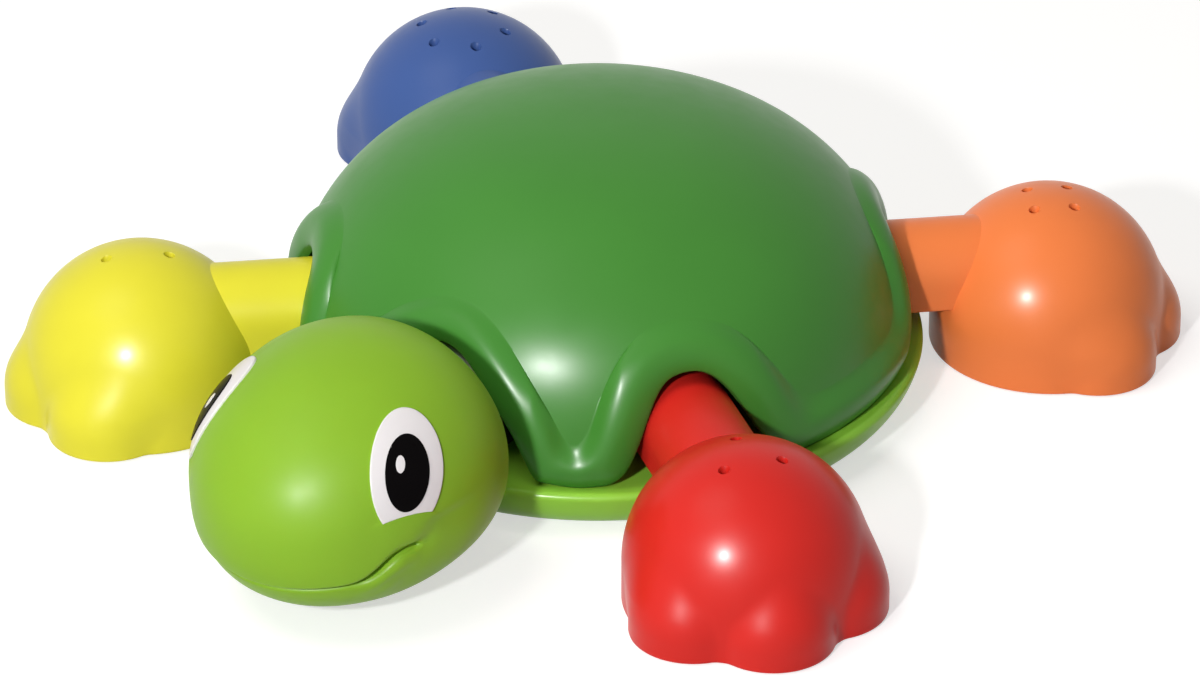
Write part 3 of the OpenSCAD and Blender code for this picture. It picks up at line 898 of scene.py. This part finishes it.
def corner_hollow(a, e):
    """A soft hollow behind the corner of the mouth, under the cheek."""
    away = ((np.abs(a) - hollow_azimuth) / hollow_azimuth_span) ** 2
    return hollow_depth * np.exp(-away - ((e - hollow_elevation) / hollow_elevation_span) ** 2)


def behind_muzzle(a, e):
    """How far the jaw behind the muzzle's ridge lies in."""
    past_ridge = np.abs(a) - (muzzle_azimuth + muzzle_lean * e)
    behind = window(past_ridge, muzzle_start, muzzle_span, muzzle_end, muzzle_end_span)
    level = window(e, muzzle_low, muzzle_low_span, muzzle_high, muzzle_high_span)
    return muzzle_proud * behind * level


def eye_axes():
    """Unit vectors across and up in the left eye's plane."""
    ea, ee = math.radians(eye_azimuth), math.radians(eye_elevation)
    across = np.array([math.cos(ea), math.sin(ea), 0])
    up = np.array([-math.sin(ee) * math.sin(ea), math.sin(ee) * math.cos(ea), math.cos(ee)])
    return across, up


def cheek_line(across):
    """How high the cheek reaches in the left eye's plane."""
    return -eye_cheek - (across + eye_cheek_shift) ** 2 / (2 * cheek_r)


def cheek_relief(a, e):
    """The cheek's edge, which cuts off the eye and falls away below."""
    side = np.abs(a)
    reach = head_direction(side, e) * head_radius(side, e)[..., None]
    across_axis, up_axis = eye_axes()
    across = reach @ across_axis
    drop = cheek_line(across) - reach @ up_axis
    beside = bell(across - cheek_middle, cheek_half_w, 4) * (side < cheek_back)
    return cheek_proud * beside * np.where(drop > 0, bell(drop, cheek_fall), bell(drop, cheek_edge))


def head_relief(a, e):
    """What the mouth, the muzzle and the cheeks add to the plain head."""
    return mouth_relief(a, e) - corner_hollow(a, e) - behind_muzzle(a, e) + cheek_relief(a, e)


def head_skin(name, columns, upper_rows, lower_rows, inset, with_face):
    """The head's skin as rays from its middle, with rows that crowd at the mouth's line."""
    a = 360.0 * np.arange(columns) / columns
    a = np.where(a > 180, a - 360, a)
    mouth = mouth_elevation(a)
    near = 1 - (1 - np.linspace(0, 1, upper_rows + 1)[1:, None]) ** head_row_power
    upper = 90 - (90 - mouth) * near
    far = np.linspace(0, 1, lower_rows + 1)[1:-1, None] ** head_row_power
    lower = mouth - (90 + mouth) * far
    e = np.concatenate([upper, lower])
    a = np.broadcast_to(a, e.shape)
    radius = head_radius(a, e, inset) + (head_relief(a, e) if with_face else 0)
    rings = head_middle + head_direction(a, e) * radius[..., None]
    top = head_middle + [0, 0, head_top - inset]
    bottom = head_middle - [0, 0, head_chin - inset]
    return ring_skin(name, rings, top, bottom)


def along_neck(name, radius, start, end):
    """A cylinder on the neck's axis."""
    cylinder = rod(name, radius, start, end, neck_columns)
    moved(cylinder, Matrix.Rotation(math.radians(-90), 4, "X"))
    return placed(cylinder, 0, 0, neck_z)


def make_head():
    """A hollow ball with a flat nape and a face, open at the back through its neck."""
    head = head_skin(
        "turtle_head", head_columns, head_upper_rows, head_lower_rows, inset=0, with_face=True
    )
    neck_end = collar_front_y + neck_behind_collar_front
    neck = along_neck("neck", neck_r, nape_y - head_wall, neck_end)
    head = combined(head, neck, "UNION")
    cavity = head_skin(
        "cavity",
        cavity_columns,
        cavity_upper_rows,
        cavity_lower_rows,
        inset=cavity_wall,
        with_face=False,
    )
    head = combined(head, cavity, "DIFFERENCE")
    bore_end = collar_front_y + neck_bore_behind_collar_front
    bore = along_neck("bore", neck_bore_r, nape_y - bore_inside_nape, bore_end)
    return shaded(combined(head, bore, "DIFFERENCE"), crease=34)


head = make_head()


# Eyes

def on_head(across, up, lift):
    """Points of the left eye's plane, brought onto the head and lifted off it."""
    base = head_direction(eye_azimuth, eye_elevation) * head_radius(eye_azimuth, eye_elevation)
    across_axis, up_axis = eye_axes()
    reach = base + np.asarray(across)[..., None] * across_axis + np.asarray(up)[..., None] * up_axis
    a = np.degrees(np.arctan2(reach[..., 0], -reach[..., 1]))
    e = np.degrees(np.arcsin(reach[..., 2] / np.linalg.norm(reach, axis=-1)))
    return head_middle + head_direction(a, e) * (head_radius(a, e) + lift)[..., None]


def eye_outline(w, h, cut, columns):
    """An ellipse that leans back, cut off below by the cheek where cut is true."""
    k = np.arange(columns) * 2 * np.pi / columns
    u = np.cos(k) * w / 2
    v = np.sin(k) * h / 2
    lean = math.radians(eye_lean)
    across = u * math.cos(lean) + v * math.sin(lean)
    up = v * math.cos(lean) - u * math.sin(lean)
    if cut:
        up = np.maximum(up + eye_place[1], cheek_line(across + eye_place[0])) - eye_place[1]
    return across, up


def eye_pad(name, outline, place, bottom, top, edge, crown):
    """A pad on the head with a rounded edge. Its middle stands higher than its edge by the crown."""
    across, up = outline
    size = np.hypot(across, up).mean()

    def ring(scale, lift):
        """The outline scaled about its middle, at one height."""
        return on_head(across * scale + place[0], up * scale + place[1], np.full(across.shape, lift))

    rings = []
    for share in np.linspace(0, 1, pad_rows)[1:]:
        rings.append(ring(share * (1 - edge / size), top - crown * share**2))
    for t in np.radians(np.linspace(0, 90, pad_edge_rows))[1:]:
        rings.append(ring(1 - edge / size * (1 - math.sin(t)), top - crown - edge * (1 - math.cos(t))))
    rings.append(ring(1, bottom))
    first = on_head(*place, np.array(top))
    last = on_head(*place, np.array(bottom))
    return ring_skin(name, rings, first, last)


def both_eyes(name, node, slot, **form):
    """A pad of the left eye and its mirror image, which stand for the nodes of the two sides."""
    pads = []
    for side, word in ((1, "_left"), (-1, "_right")):
        pad = moved(eye_pad(name + word, **form), Matrix.Diagonal((side, 1, 1, 1)))
        fitted(shaded(pad, crease=40), "turtle", node + word)
        pads.append(pad)
    return pads


white_pads = both_eyes(
    "white_pad",
    "eye_white",
    "eye_white",
    outline=eye_outline(eye_w, eye_h, True, eye_columns),
    place=eye_place,
    bottom=white_bottom,
    top=white_top,
    edge=white_edge,
    crown=white_crown,
)
pupil_pads = both_eyes(
    "pupil_pad",
    "eye_pupil",
    "pupil_black",
    outline=eye_outline(pupil_w, pupil_h, False, eye_columns),
    place=pupil_place,
    bottom=pupil_bottom,
    top=pupil_top,
    edge=pupil_edge,
    crown=pupil_crown,
)
pupil_glints = both_eyes(
    "pupil_glint",
    "eye_pupil",
    "eye_white",
    outline=eye_outline(glint_w, glint_h, False, glint_columns),
    place=glint_place,
    bottom=glint_bottom,
    top=glint_top,
    edge=glint_edge,
    crown=glint_crown,
)

fitted(shell, "turtle", "shell")
fitted(hull, "turtle", "hull")
fitted(head, "turtle", "head")


# Materials

# Cycles per metre of the drifting colour, the uneven gloss and the grain of the mould
drift_scale = 26
uneven_scale = 140
grain_scale = 900
grain_strength = 0.2
grain_depth = 0.03
noise_low = 0.3
noise_high = 0.7
soft_depth = 4


def linear(colour):
    """Linear light from a colour as it shows on a screen, 0 to 255."""
    shares = [c / 255 for c in colour]
    return tuple(c / 12.92 if c <= 0.04045 else ((c + 0.055) / 1.055) ** 2.4 for c in shares)


def noise(nodes, links, place, scale, detail):
    """Noise in the object's own coordinates."""
    node = nodes.new("ShaderNodeTexNoise")
    node.inputs["Scale"].default_value = scale
    node.inputs["Detail"].default_value = detail
    links.new(place.outputs["Object"], node.inputs["Vector"])
    return node.outputs["Fac"]


def plastic(
    name,
    colour,
    roughness=0.36,
    spread=0.03,
    drift=0.03,
    specular=0.12,
    gloss=0.15,
    gloss_roughness=0.24,
    soft=0.0,
    metal=0.0,
):
    """Moulded plastic: colour that drifts a little, uneven gloss and the faint grain of the mould."""
    material = bpy.data.materials.new(name)
    material.use_nodes = True
    nodes, links = material.node_tree.nodes, material.node_tree.links
    shader = nodes["Principled BSDF"]
    shader.inputs["Metallic"].default_value = metal
    shader.inputs["Specular IOR Level"].default_value = specular
    shader.inputs["Coat Weight"].default_value = gloss
    shader.inputs["Coat Roughness"].default_value = gloss_roughness
    shader.inputs["Subsurface Weight"].default_value = soft
    shader.inputs["Subsurface Scale"].default_value = soft_depth * MM
    place = nodes.new("ShaderNodeTexCoord")

    drifting = noise(nodes, links, place, drift_scale, detail=3)
    colours = nodes.new("ShaderNodeValToRGB")
    for element, position, factor in zip(
        colours.color_ramp.elements, (noise_low, noise_high), (1 - drift, 1 + drift)
    ):
        element.position = position
        element.color = tuple(min(c * factor, 1) for c in linear(colour)) + (1,)
    links.new(drifting, colours.inputs["Fac"])
    links.new(colours.outputs["Color"], shader.inputs["Base Color"])

    uneven = nodes.new("ShaderNodeMapRange")
    uneven.inputs["From Min"].default_value = noise_low
    uneven.inputs["From Max"].default_value = noise_high
    uneven.inputs["To Min"].default_value = roughness - spread
    uneven.inputs["To Max"].default_value = roughness + spread
    links.new(noise(nodes, links, place, uneven_scale, detail=4), uneven.inputs["Value"])
    links.new(uneven.outputs["Result"], shader.inputs["Roughness"])

    bump = nodes.new("ShaderNodeBump")
    bump.inputs["Strength"].default_value = grain_strength
    bump.inputs["Distance"].default_value = grain_depth * MM
    links.new(noise(nodes, links, place, grain_scale, detail=2), bump.inputs["Height"])
    links.new(bump.outputs["Normal"], shader.inputs["Normal"])
    return material


def dressed(obj, material):
    """Gives the material to every face of the object."""
    if obj.data.materials:
        for i in range(len(obj.data.materials)):
            obj.data.materials[i] = material
    else:
        obj.data.materials.append(material)


shell_green = plastic(
    "shell_green", (64, 131, 47), roughness=0.37, specular=0.15, gloss=0.12, gloss_roughness=0.3
)
hull_green = plastic("hull_green", (143, 203, 64), roughness=0.4)
head_green = plastic("head_vinyl", (132, 176, 45), roughness=0.42, gloss=0.0, soft=0.05)
white = plastic("eye_white_gloss", (228, 224, 226), roughness=0.3, drift=0.01)
black = plastic("pupil_gloss", (9, 7, 8), roughness=0.3, drift=0.2, specular=0.02, gloss=0.0)
inner_white = plastic("inner_white", (214, 216, 208), roughness=0.4)
# Painted shade: the neck's collar is dressed near black to stand for the shadowed gap behind the head, not in
# its own colour
collar_painted_shade = plastic("collar_painted_shade", (38, 40, 38), roughness=0.45)
rubber = plastic("seal_rubber", (34, 34, 37), roughness=0.6, drift=0.12)
film = plastic("reed_film", (206, 214, 220), roughness=0.25)
steel = plastic("screw_steel", (190, 192, 196), roughness=0.28, metal=1.0)
foot_colours = {
    "red": (207, 38, 31),
    "yellow": (223, 215, 55),
    "orange": (244, 131, 70),
    "blue": (65, 93, 157),
}

dressed(shell, shell_green)
dressed(hull, hull_green)
dressed(head, head_green)
for name, colour in foot_colours.items():
    dressed(feet[name], plastic(name + "_plastic", colour))
for pad in white_pads + pupil_glints:
    dressed(pad, white)
for pad in pupil_pads:
    dressed(pad, black)
for node, material in (
    ("deck", hull_green),
    ("hull_seal", rubber),
    ("shell_screws", steel),
    ("collar_screws", steel),
    ("neck_clip", inner_white),
    # The collar takes the painted shade of the dark gap behind the head
    ("neck_collar", collar_painted_shade),
    ("squeaker_housing", inner_white),
    ("squeaker_cap", inner_white),
    ("squeaker_reed", film),
):
    dressed(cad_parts[node], material)


# Floor and backdrop

floor_w = 4000
floor_drop = 0.1
floor_grey = 0.6
floor_glow = 0.58
floor_bounce_grey = 0.58
backdrop_fill = 0.27


def is_seen(nodes, links):
    """1 for a ray that comes from the camera, or by way of a mirror or glass."""
    path = nodes.new("ShaderNodeLightPath")
    seen = path.outputs["Is Camera Ray"]
    for name in ("Is Glossy Ray", "Is Transmission Ray"):
        either = nodes.new("ShaderNodeMath")
        either.operation = "MAXIMUM"
        links.new(seen, either.inputs[0])
        links.new(path.outputs[name], either.inputs[1])
        seen = either.outputs["Value"]
    return seen


def show_either(nodes, links, unseen, seen, output):
    """Shows one shader to the camera, and the other to the light that falls on the object."""
    mix = nodes.new("ShaderNodeMixShader")
    links.new(is_seen(nodes, links), mix.inputs["Fac"])
    links.new(unseen, mix.inputs[1])
    links.new(seen, mix.inputs[2])
    links.new(mix.outputs["Shader"], nodes.new(output).inputs["Surface"])


def matt(nodes, grey):
    """A matt grey shader."""
    shader = nodes.new("ShaderNodeBsdfDiffuse")
    shader.inputs["Color"].default_value = (grey, grey, grey, 1)
    return shader.outputs["BSDF"]


def floor_paint():
    """Pale, with the object's shadow on it. It throws less light on the object than the camera sees."""
    material = bpy.data.materials.new("floor_pale")
    material.use_nodes = True
    nodes, links = material.node_tree.nodes, material.node_tree.links
    nodes.clear()
    glow = nodes.new("ShaderNodeEmission")
    glow.inputs["Strength"].default_value = floor_glow
    bright = nodes.new("ShaderNodeAddShader")
    links.new(matt(nodes, floor_grey), bright.inputs[0])
    links.new(glow.outputs["Emission"], bright.inputs[1])
    bounce = matt(nodes, floor_bounce_grey)
    show_either(nodes, links, bounce, bright.outputs["Shader"], "ShaderNodeOutputMaterial")
    return material


def studio_world():
    """A white backdrop that gives the object a plain, weaker fill."""
    world = bpy.data.worlds.new("studio")
    world.use_nodes = True
    nodes, links = world.node_tree.nodes, world.node_tree.links
    nodes.clear()
    fill = nodes.new("ShaderNodeBackground")
    fill.inputs["Strength"].default_value = backdrop_fill
    backdrop = nodes.new("ShaderNodeBackground")
    backdrop.inputs["Color"].default_value = (1, 1, 1, 1)
    backdrop.inputs["Strength"].default_value = 1
    show_either(
        nodes, links, fill.outputs["Background"], backdrop.outputs["Background"], "ShaderNodeOutputWorld"
    )
    return world


floor_corners = ((-1, -1), (1, -1), (1, 1), (-1, 1))
floor = mesh_object(
    "floor", [(x * floor_w / 2, y * floor_w / 2, -floor_drop) for x, y in floor_corners], [[0, 1, 2, 3]]
)
floor.data.materials.append(floor_paint())
bpy.context.scene.world = studio_world()


# Lights, placed in metres

light_target = Vector((0, 0, 0.03))
key_place = (0.224, -1.04, 0.622)
key_size = 0.08
fill_place = (-0.5, -0.5, 1.5)
fill_size = 1.0


def area_light(name, place, size, power):
    """A round lamp that faces the object."""
    light = bpy.data.lights.new(name, "AREA")
    light.shape = "DISK"
    light.size = size
    light.energy = power
    obj = bpy.data.objects.new(name, light)
    bpy.context.scene.collection.objects.link(obj)
    obj.location = place
    obj.rotation_euler = (light_target - Vector(place)).to_track_quat("-Z", "Y").to_euler()
    return obj


area_light("key", key_place, key_size, power=8.6)
# The sparkle adds the bright core of each highlight and no light besides
sparkle = area_light("key_sparkle", key_place, key_size, power=24)
sparkle.visible_diffuse = False
# The fill is there for its light alone, so no glossy piece mirrors it
top_fill = area_light("top_fill", fill_place, fill_size, power=13)
top_fill.visible_glossy = False
top_fill.data.color = (1, 0.96, 0.88)


# Camera, placed in metres

camera_azimuth = math.radians(32.36)
camera_elevation = math.radians(30.47)
camera_distance = 2.1
camera_target = Vector((0, 0.0013, 0.0057))
camera_data = bpy.data.cameras.new("camera")
camera_data.sensor_width = 36
camera_data.lens = 206.3
camera = bpy.data.objects.new("camera", camera_data)
bpy.context.scene.collection.objects.link(camera)
toward_camera = Vector(
    (
        math.cos(camera_elevation) * math.sin(camera_azimuth),
        -math.cos(camera_elevation) * math.cos(camera_azimuth),
        math.sin(camera_elevation),
    )
)
camera.location = camera_target + toward_camera * camera_distance
camera.rotation_euler = (-toward_camera).to_track_quat("-Z", "Y").to_euler()
bpy.context.scene.camera = camera
bpy.context.scene.view_settings.view_transform = "Standard"

bpy.context.view_layer.update()
